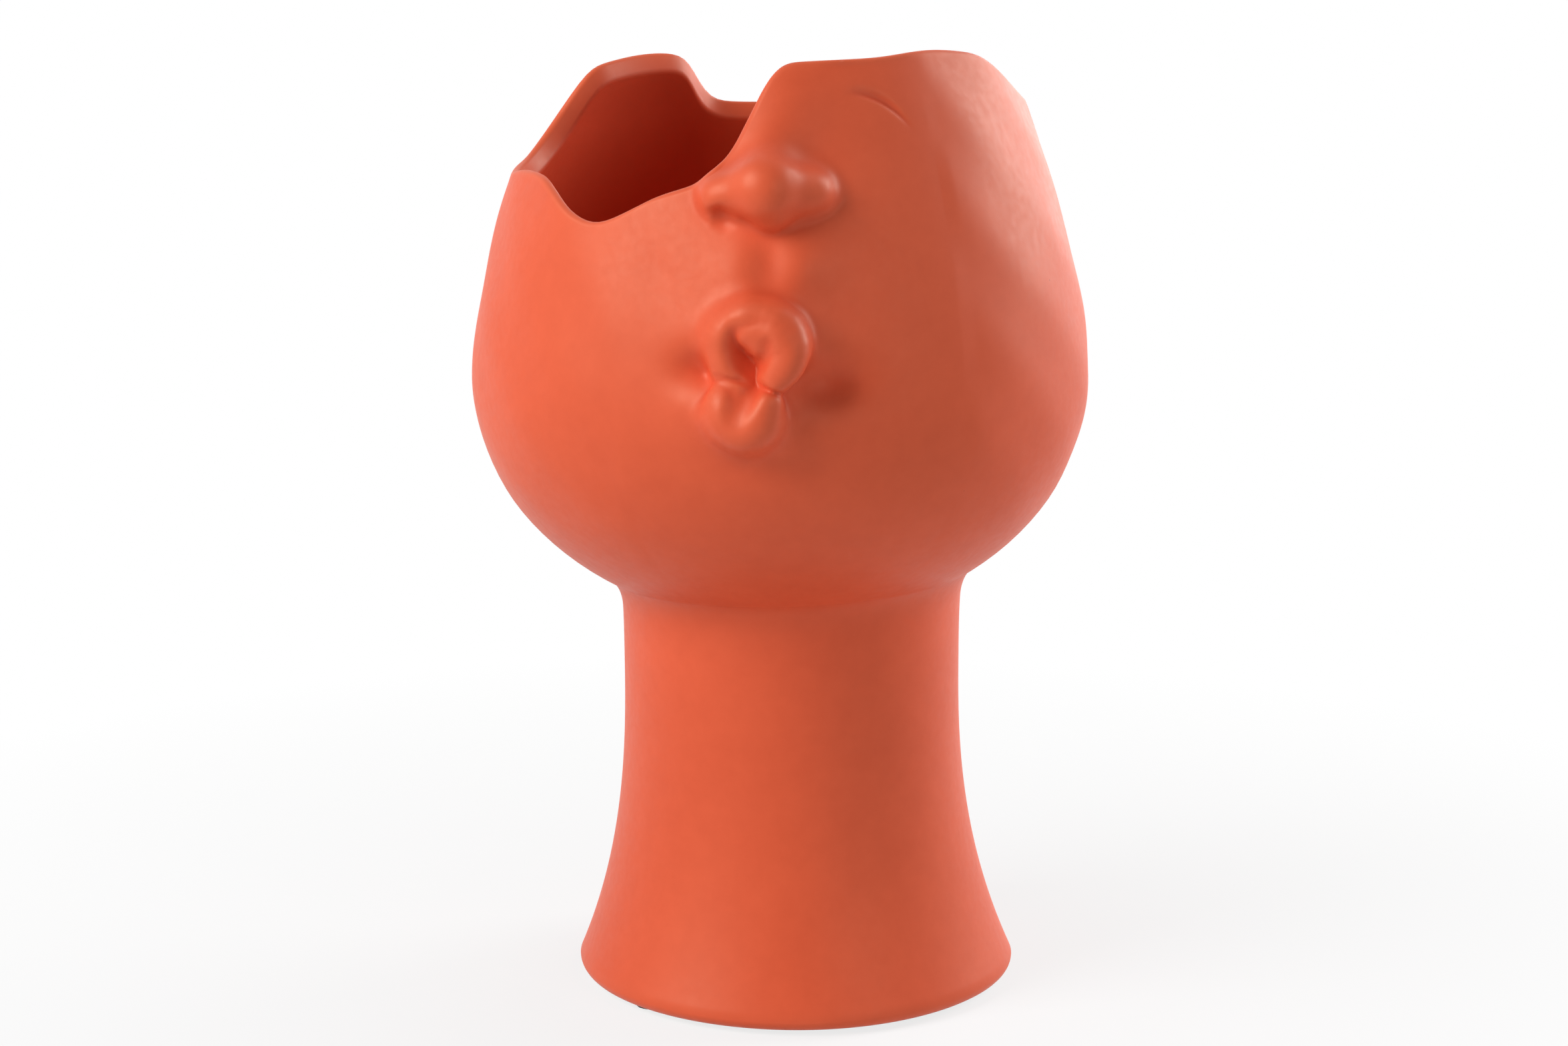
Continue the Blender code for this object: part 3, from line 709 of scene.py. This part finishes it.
def turned_rings(profile, place, columns, wobble=0.0):
    """Rings of a turned piece, whose profile of (radius, height) runs up its outside."""
    turn = np.linspace(0, 2 * math.pi, columns, endpoint=False)
    rings = []
    for radius, height in profile:
        reach = radius * (1 + wobble)
        rings.append(np.stack([place[0] + reach * np.sin(turn), place[1] - reach * np.cos(turn),
                               np.full(columns, place[2] + height)], axis=-1))
    return np.array(rings)


def plug_rings(low, high):
    """Rings of the drain plug in the space between those corners."""
    middle = (low + high) / 2
    flange = (high[0] - low[0]) / 2
    tall = high[2] - low[2]
    stem = flange - PLUG_SHOULDER
    end = stem - PLUG_TAPER
    floor = tall - PLUG_HEAD
    outline = [(PLUG_MIDDLE, PLUG_CUP, 0)]
    outline += [(end - inset, height, rounding) for inset, height, rounding in PLUG_END]
    for share in PLUG_RIB_PLACES:
        radius = stem - PLUG_TAPER * (1 - share)
        outline += [(radius - inset, floor * share + height, PLUG_RIB_ROUNDING)
                    for inset, height in PLUG_RIB_SECTION]
    outline.append((stem - PLUG_RIB, floor, PLUG_SEAT_ROUNDING))
    outline += [(flange - inset, floor + height, rounding) for inset, height, rounding in PLUG_FLANGE]
    outline += [(PLUG_STALK + out, floor + height, rounding)
                for out, height, rounding in PLUG_STALK_CORNERS]
    line = [tuple(spot) for spot in rounded(outline, FINE_ARC_STEPS)]
    for turn in np.radians(np.linspace(*KNOB_TURNS, KNOB_ROWS)):
        line.append((PLUG_KNOB * math.sin(turn), tall - PLUG_KNOB + PLUG_KNOB * math.cos(turn)))
    return turned_rings(line, (middle[0], middle[1], low[2]), PLUG_COLUMNS)


def pad_rings(low, high, seed):
    """Rings of a felt pad in the space between those corners, its punched edge a little uneven."""
    chance = np.random.default_rng(seed)
    rough = chance.normal(0, 1, PAD_COLUMNS)
    rough = (rough + np.roll(rough, 1) + np.roll(rough, -1)) / 3 * PAD_UNEVENNESS
    radius, tall = (high[0] - low[0]) / 2 - PAD_TRIM, high[2] - low[2]
    outline = ((PAD_MIDDLE, 0.0, 0), (radius, 0.0, PAD_EDGE),
               (radius - PAD_WAIST, tall / 2, PAD_WAIST_ROUNDING),
               (radius, tall, PAD_EDGE), (PAD_MIDDLE, tall, 0))
    edge = [tuple(spot) for spot in rounded(outline, FINE_ARC_STEPS)]
    below = [(share * radius, 0.0) for share in PAD_ROWS]
    above = [(share * radius, tall) for share in reversed(PAD_ROWS)]
    line = edge[:1] + below + edge[1:-1] + above + edge[-1:]
    middle = (low + high) / 2
    return turned_rings(line, (middle[0], middle[1], low[2]), PAD_COLUMNS, rough)


def bends(rings):
    """How sharply the surface bends out and in at each point of a ring-shaped grid, from 0 to 1."""
    across = np.roll(rings, -1, axis=1) - np.roll(rings, 1, axis=1)
    along = np.roll(rings, -1, axis=0) - np.roll(rings, 1, axis=0)
    normal = np.cross(across, along)
    normal /= np.maximum(np.linalg.norm(normal, axis=-1, keepdims=True), TINY)
    curves = []
    for axis in (0, 1):
        before, after = np.roll(rings, 1, axis=axis), np.roll(rings, -1, axis=axis)
        reach = np.linalg.norm(after - before, axis=-1) / 2
        height = ((rings - (before + after) / 2) * normal).sum(axis=-1)
        curves.append(2 * height / np.maximum(reach, LEAST_REACH) ** 2)
    # Outward bends get the paler thin glaze with a painted highlight, inward bends the darker pooled glaze
    # with painted shade
    out = np.clip(np.maximum(*curves) * THIN_HIGHLIGHT_GAIN, 0, 1)
    into = np.clip(-np.minimum(*curves) * POOLED_SHADE_GAIN, 0, 1)
    for _ in range(BEND_ROUNDS):
        out, into = (sum(np.roll(bend, step, axis=axis) for step in (-1, 0, 1) for axis in (0, 1)) / 6
                     for bend in (out, into))
    return out, into


def add_piece(name, rings, closed, *materials):
    """A mesh with a skin over rings of points, joined into a loop or capped at both ends."""
    rows, columns = rings.shape[:2]
    index = np.arange(rows * columns).reshape(rows, columns)
    lower = index if closed else index[:-1]
    upper = np.roll(index, -1, axis=0) if closed else index[1:]
    quads = np.stack([lower, np.roll(lower, -1, axis=1), np.roll(upper, -1, axis=1), upper], axis=-1)
    faces = quads.reshape(-1, 4).tolist()
    if not closed:
        faces += [index[0, ::-1].tolist(), index[-1].tolist()]
    mesh = bpy.data.meshes.new(name)
    mesh.from_pydata((rings.reshape(-1, 3) * MM).tolist(), [], faces)
    mesh.shade_smooth()
    mesh.set_sharp_from_angle(angle=SHARP_ANGLE)
    for material in materials:
        mesh.materials.append(material)
    piece = bpy.data.objects.new(name, mesh)
    bpy.context.scene.collection.objects.link(piece)
    return piece


def inside_bowl(rings):
    """1 for points on the inner face of the bowl's wall."""
    place = rings - HEAD_PLACE
    inset = wall_radius(place[..., 2]) - np.hypot(place[..., 0], place[..., 1])
    return step_up(inset, *BOWL_EDGE)


def add_masks(piece, rings, inner_shade=0.0):
    """Keep masks for the glaze on the mesh: thin glaze with a painted highlight on edges, pooled glaze with
    painted shade in hollows, and painted shade alone where it is given.
    """
    thin_and_lit, deep = bends(rings)
    for name, values in (("thin_glaze_highlight", thin_and_lit), ("pooled_glaze_shade", np.maximum(deep, inner_shade))):
        attribute = piece.data.attributes.new(name, "FLOAT", "POINT")
        attribute.data.foreach_set("value", values.reshape(-1).astype(np.float32))


def add_node(tree, kind, sockets=None, **settings):
    """A node with its settings, and its sockets set to a value or joined to another node's output."""
    node = tree.nodes.new("ShaderNode" + kind)
    for name, value in settings.items():
        setattr(node, name, value)
    for name, value in (sockets or {}).items():
        if isinstance(value, bpy.types.NodeSocket):
            tree.links.new(value, node.inputs[name])
        else:
            node.inputs[name].default_value = value
    return node


def calculate(tree, operation, first, second):
    """The outcome of a Math node."""
    return add_node(tree, "Math", {0: first, 1: second}, operation=operation).outputs[0]


def weighed(tree, first, share, second, rest):
    """The sum of two values by their shares."""
    parts = (calculate(tree, "MULTIPLY", value, part) for value, part in ((first, share), (second, rest)))
    return calculate(tree, "ADD", *parts)


def spread(tree, value, low, high, from_low=0.0, from_high=1.0):
    """A value moved from one range to another."""
    sockets = {"Value": value, "From Min": from_low, "From Max": from_high, "To Min": low, "To Max": high}
    return add_node(tree, "MapRange", sockets).outputs["Result"]


def tinted(tree, share, first, second):
    """A colour between two others."""
    node = add_node(tree, "Mix", data_type="RGBA")
    ends = [socket for socket in node.inputs if socket.type == "RGBA"]
    for socket, value in ((node.inputs[0], share), (ends[0], first), (ends[1], second)):
        if isinstance(value, bpy.types.NodeSocket):
            tree.links.new(value, socket)
        else:
            socket.default_value = value
    return [socket for socket in node.outputs if socket.type == "RGBA"][0]


def new_group(name, inputs, outputs):
    """An empty shader group with number sockets, and its input and output nodes."""
    group = bpy.data.node_groups.new(name, "ShaderNodeTree")
    for label, value in inputs.items():
        socket = group.interface.new_socket(label, in_out="INPUT", socket_type="NodeSocketFloat")
        socket.default_value = value
    for label in outputs:
        group.interface.new_socket(label, in_out="OUTPUT", socket_type="NodeSocketFloat")
    return group, group.nodes.new("NodeGroupInput"), group.nodes.new("NodeGroupOutput")


def use_group(tree, group, **values):
    """A group placed in a material with its own values."""
    node = tree.nodes.new("ShaderNodeGroup")
    node.node_tree = group
    for name, value in values.items():
        node.inputs[name].default_value = value
    return node.outputs


def noise(tree, size, detail, rough):
    """Noise that is the same all over the piece, with lumps of that size in millimetres."""
    place = add_node(tree, "TexCoord").outputs["Object"]
    scale = calculate(tree, "DIVIDE", 1 / MM, size)
    sockets = {"Vector": place, "Scale": scale, "Detail": detail, "Roughness": rough}
    return add_node(tree, "TexNoise", sockets).outputs[0]


def make_mottle():
    """Broad uneven tone: large clouds with smaller ones in them."""
    group, given, made = new_group("mottle", {"Cloud": 60.0, "Patch": 9.0}, ("Tone",))
    large = noise(group, given.outputs["Cloud"], detail=2.0, rough=0.5)
    clouds = spread(group, large, 0.0, 1.0, *NOISE_RANGE)
    small = noise(group, given.outputs["Patch"], detail=3.0, rough=0.6)
    patches = spread(group, small, 0.0, 1.0, *NOISE_RANGE)
    group.links.new(weighed(group, clouds, 0.6, patches, 0.4), made.inputs["Tone"])
    return group


def make_grain():
    """Fine grain: a height for bumps and a tone for the gloss."""
    group, given, made = new_group("grain", {"Grain": 0.6}, ("Height", "Tone"))
    fine = noise(group, given.outputs["Grain"], detail=2.0, rough=0.55)
    larger = calculate(group, "MULTIPLY", given.outputs["Grain"], COARSE_GRAIN)
    coarse = noise(group, larger, detail=2.0, rough=0.5)
    group.links.new(weighed(group, fine, 0.5, coarse, 0.5), made.inputs["Height"])
    group.links.new(spread(group, coarse, 0.0, 1.0, *NOISE_RANGE), made.inputs["Tone"])
    return group


def make_specks():
    """Rare small round specks."""
    group, given, made = new_group("specks", {"Spacing": 12.0, "Share": 0.4, "Size": 0.03}, ("Mask",))
    place = add_node(group, "TexCoord").outputs["Object"]
    scale = calculate(group, "DIVIDE", 1 / MM, given.outputs["Spacing"])
    cells = add_node(group, "TexVoronoi", {"Vector": place, "Scale": scale})
    edge = calculate(group, "MULTIPLY", given.outputs["Size"], SPECK_FADE)
    near = spread(group, cells.outputs["Distance"], 1.0, 0.0, given.outputs["Size"], edge)
    lot = add_node(group, "SeparateColor", {"Color": cells.outputs["Color"]}).outputs[0]
    chosen = calculate(group, "LESS_THAN", lot, given.outputs["Share"])
    group.links.new(calculate(group, "MULTIPLY", near, chosen), made.inputs["Mask"])
    return group


def new_material(name, **values):
    """A material with its Principled shader set to plain values."""
    material = bpy.data.materials.new(name)
    material.use_nodes = True
    tree = material.node_tree
    shader = tree.nodes["Principled BSDF"]
    for label, value in values.items():
        shader.inputs[label.replace("_", " ")].default_value = value
    return material, tree, shader


def mottled(tree, group, deep, pale, **sizes):
    """A colour that wanders between a deep and a pale one."""
    return tinted(tree, use_group(tree, group, **sizes)["Tone"], deep, pale)


def specked(tree, group, colour, speck, **sizes):
    """A colour with specks of another on it."""
    return tinted(tree, use_group(tree, group, **sizes)["Mask"], colour, speck)


def add_grain(tree, shader, group, size, roughness, depth, strength):
    """Grain on a shader: roughness between two values, and bumps of that depth in millimetres."""
    grain = use_group(tree, group, Grain=size)
    tree.links.new(spread(tree, grain["Tone"], *roughness), shader.inputs["Roughness"])
    sockets = {"Height": grain["Height"], "Distance": depth * MM, "Strength": strength}
    tree.links.new(add_node(tree, "Bump", sockets).outputs["Normal"], shader.inputs["Normal"])


def mask(tree, name):
    """A mask kept on the mesh, as the share by which the glaze changes its colour there: paler for thin
    glaze and its painted highlight, darker for pooled glaze and its painted shade.
    """
    kept = add_node(tree, "Attribute", attribute_name=name).outputs["Fac"]
    return calculate(tree, "MULTIPLY", kept, GLAZE_CHANGE)


def make_coral_glaze(groups):
    """Satin matt coral glaze, uneven in tone, paler on edges as thin glaze with a painted highlight, darker
    in folds as pooled glaze with painted shade and over the inside of the bowl as painted shade, with rare
    dark specks.
    """
    material, tree, shader = new_material("satin_coral", IOR=1.45, Specular_Tint=(1.0, 0.85, 0.62, 1))
    shader.inputs["Specular IOR Level"].default_value = 0.45
    colour = mottled(tree, groups["mottle"], CORAL_DEEP, CORAL, Cloud=70.0, Patch=8.0)
    # Paler on edges and darker in hollows and over the inside of the bowl: painted highlight and painted
    # shade, along with thin and pooled glaze
    colour = tinted(tree, mask(tree, "thin_glaze_highlight"), colour, CORAL_THIN_HIGHLIGHT)
    colour = tinted(tree, mask(tree, "pooled_glaze_shade"), colour, CORAL_POOLED_SHADE)
    colour = specked(tree, groups["specks"], colour, SPECK, Spacing=16.0, Share=0.2, Size=0.012)
    tree.links.new(colour, shader.inputs["Base Color"])
    add_grain(tree, shader, groups["grain"], size=0.5, roughness=(0.43, 0.50), depth=0.05, strength=0.5)
    return material


def make_bare_clay(groups):
    """Wiped foot: pale fired clay with open grain."""
    material, tree, shader = new_material("bare_clay")
    colour = mottled(tree, groups["mottle"], CLAY_DEEP, CLAY, Cloud=25.0, Patch=3.0)
    colour = specked(tree, groups["specks"], colour, CLAY_SPECK, Spacing=4.0, Share=0.3, Size=0.06)
    tree.links.new(colour, shader.inputs["Base Color"])
    add_grain(tree, shader, groups["grain"], size=0.35, roughness=(0.78, 0.92), depth=0.15, strength=0.7)
    return material


def make_black_rubber(groups):
    """Moulded rubber with a dull dusty bloom."""
    material, tree, shader = new_material("moulded_rubber")
    colour = mottled(tree, groups["mottle"], RUBBER_DEEP, RUBBER, Cloud=9.0, Patch=1.6)
    colour = specked(tree, groups["specks"], colour, RUBBER_DUST, Spacing=1.4, Share=0.25, Size=0.08)
    tree.links.new(colour, shader.inputs["Base Color"])
    add_grain(tree, shader, groups["grain"], size=0.2, roughness=(0.52, 0.72), depth=0.06, strength=0.6)
    return material


def make_dark_felt(groups):
    """Pressed felt of mixed dark fibres."""
    material, tree, shader = new_material("pressed_felt", Sheen_Weight=0.35, Sheen_Roughness=0.5)
    colour = mottled(tree, groups["mottle"], FELT_DEEP, FELT, Cloud=5.0, Patch=0.7)
    colour = specked(tree, groups["specks"], colour, FELT_FIBRE, Spacing=0.9, Share=0.3, Size=0.14)
    tree.links.new(colour, shader.inputs["Base Color"])
    add_grain(tree, shader, groups["grain"], size=0.16, roughness=(0.90, 1.0), depth=0.25, strength=0.9)
    return material


def seen_directly(tree):
    """1 for rays from the camera and for those that mirror or glass send on."""
    path = add_node(tree, "LightPath").outputs
    seen = calculate(tree, "MAXIMUM", path["Is Camera Ray"], path["Is Glossy Ray"])
    return calculate(tree, "MAXIMUM", seen, path["Is Transmission Ray"])


def make_floor():
    """A pale floor that keeps the pot's shadow and fades into the white backdrop."""
    material, tree, shader = new_material("pale_floor", Roughness=0.9)
    tone = noise(tree, size=40.0, detail=3.0, rough=0.5)
    tree.links.new(tinted(tree, tone, FLOOR_DEEP, FLOOR_PALE), shader.inputs["Base Color"])
    place = add_node(tree, "TexCoord").outputs["Object"]
    away = add_node(tree, "VectorMath", {0: place}, operation="LENGTH").outputs["Value"]
    fade = spread(tree, away, *FLOOR_FADE)
    white = add_node(tree, "Emission", {"Color": WHITE, "Strength": 1.0})
    share = calculate(tree, "MULTIPLY", fade, seen_directly(tree))
    mixed = add_node(tree, "MixShader", {0: share, 1: shader.outputs[0], 2: white.outputs[0]})
    tree.links.new(mixed.outputs[0], tree.nodes["Material Output"].inputs["Surface"])
    corners = [(x * FLOOR_HALF, y * FLOOR_HALF, 0) for x, y in ((-1, -1), (1, -1), (1, 1), (-1, 1))]
    mesh = bpy.data.meshes.new("floor")
    mesh.from_pydata(corners, [], [(0, 1, 2, 3)])
    mesh.materials.append(material)
    floor = bpy.data.objects.new("floor", mesh)
    bpy.context.scene.collection.objects.link(floor)


def make_world():
    """Even white surroundings: dim as light, plain white where they are seen."""
    world = bpy.data.worlds.new("studio")
    world.use_nodes = True
    tree = world.node_tree
    strength = spread(tree, seen_directly(tree), AMBIENT, 1.0)
    tree.links.new(strength, tree.nodes["Background"].inputs["Strength"])
    tree.nodes["Background"].inputs["Color"].default_value = WHITE
    bpy.context.scene.world = world


def add_softbox(name, azimuth, elevation, size, power):
    """A soft rectangular lamp that looks at the pot."""
    lamp = bpy.data.lights.new(name, "AREA")
    lamp.shape = "RECTANGLE"
    lamp.size, lamp.size_y = size
    lamp.energy = power
    softbox = bpy.data.objects.new(name, lamp)
    turn, lift = math.radians(azimuth), math.radians(elevation)
    way = Vector((math.sin(turn) * math.cos(lift), -math.cos(turn) * math.cos(lift), math.sin(lift)))
    softbox.location = LAMP_AIM + way * LAMP_DISTANCE
    softbox.rotation_euler = (-way).to_track_quat("-Z", "Y").to_euler()
    bpy.context.scene.collection.objects.link(softbox)


def add_camera():
    """The camera at the photograph's place: a little to one side and above, with a long lens."""
    turn = math.radians(CAMERA_TURN)
    camera = bpy.data.cameras.new("camera")
    camera.sensor_width = SENSOR_WIDTH
    camera.lens = SENSOR_WIDTH * FOCAL_LENGTH_PIXELS / PICTURE_WIDTH_PIXELS
    holder = bpy.data.objects.new("camera", camera)
    sideways = CAMERA_DISTANCE * math.sin(turn) + CAMERA_SIDE * math.cos(turn)
    ahead = HEAD_PLACE[1] * MM - CAMERA_DISTANCE * math.cos(turn) + CAMERA_SIDE * math.sin(turn)
    holder.location = (sideways, ahead, CAMERA_HEIGHT)
    holder.rotation_euler = (math.pi / 2 - math.radians(CAMERA_PITCH), 0, turn)
    bpy.context.scene.collection.objects.link(holder)
    bpy.context.scene.camera = holder


def node_box(node):
    """Lowest and highest corner of a CAD node, in millimetres."""
    return tuple(np.array(corner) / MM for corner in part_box(node))


def dress(piece, body, node):
    """Seat a piece on its body, in place of its CAD node."""
    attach(piece, body)
    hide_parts(node)


def main():
    """Make the pieces, the stage and the camera."""
    add_camera()
    groups = {"mottle": make_mottle(), "grain": make_grain(), "specks": make_specks()}
    glaze, clay = make_coral_glaze(groups), make_bare_clay(groups)
    rubber, felt = make_black_rubber(groups), make_dark_felt(groups)

    rings = head_rings()
    head = add_piece("glazed_head", rings, True, glaze)
    # The whole inside of the bowl is given the darker pooled colour: painted shade.
    add_masks(head, rings, inside_bowl(rings))
    dress(head, "pot", "head_bowl")

    foot = node_box("neck_stand")[0][2]
    rings = neck_rings(foot)
    neck = add_piece("glazed_neck", rings, True, glaze, clay)
    add_masks(neck, rings)
    for face in neck.data.polygons:
        if face.center.z < (foot + BARE_HEIGHT) * MM:
            face.material_index = 1
    dress(neck, "pot", "neck_stand")

    plug = add_piece("rubber_plug", plug_rings(*node_box("drain_plug")), False, rubber)
    dress(plug, "plug", "drain_plug")
    for number in range(1, PAD_COUNT + 1):
        node = f"foot_pad_{number}"
        pad = add_piece(f"felt_pad_{number}", pad_rings(*node_box(node), number), False, felt)
        dress(pad, "pot", node)

    make_floor()
    make_world()
    for lamp in LAMPS:
        add_softbox(*lamp)
    bpy.context.scene.view_settings.view_transform = "Standard"


main()
